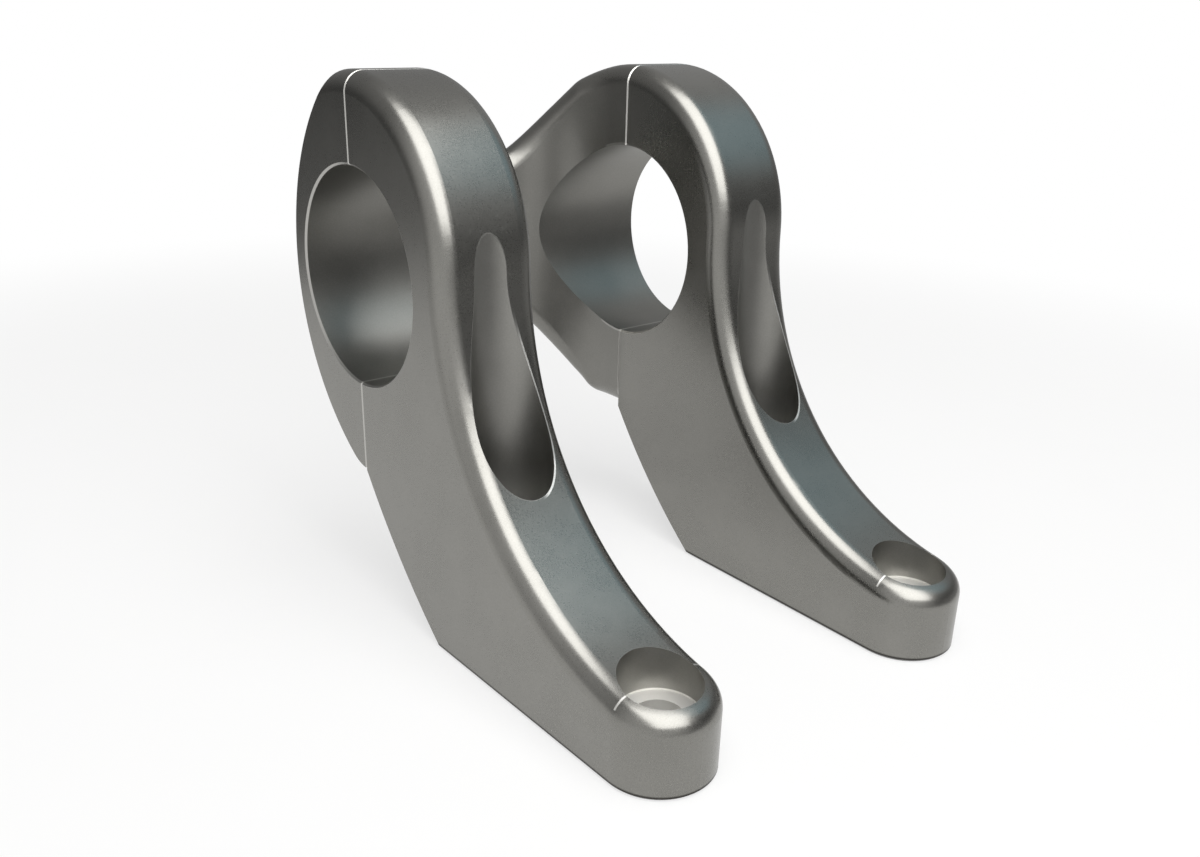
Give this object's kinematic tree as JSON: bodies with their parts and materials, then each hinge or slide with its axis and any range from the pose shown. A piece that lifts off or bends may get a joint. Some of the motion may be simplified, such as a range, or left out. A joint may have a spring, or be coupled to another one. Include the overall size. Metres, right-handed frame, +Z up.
{
  "type": "motorcycle handlebar riser clamp",
  "caption": "Machined riser clamp for a motorcycle handlebar: swept riser arms with half-round toes and a one-piece rear clamp bridge.",
  "frame": {"origin": "on the handlebar's axis, midway between the two clamps", "axes": "+X along the handlebar, +Y rearward to the clamp bridge, +Z up from the feet"},
  "size_m": [0.0666, 0.0932, 0.0807],
  "materials": {
    "blasted_aluminium": "satin, bead blasted and clear anodised",
    "screw_steel": "satin stainless steel"
  },
  "bodies": {
    "root": {"left_riser_arm": "blasted_aluminium", "right_riser_arm": "blasted_aluminium", "rear_clamp_bridge": "blasted_aluminium", "pinch_screws": "screw_steel"}
  },
  "joints": []
}
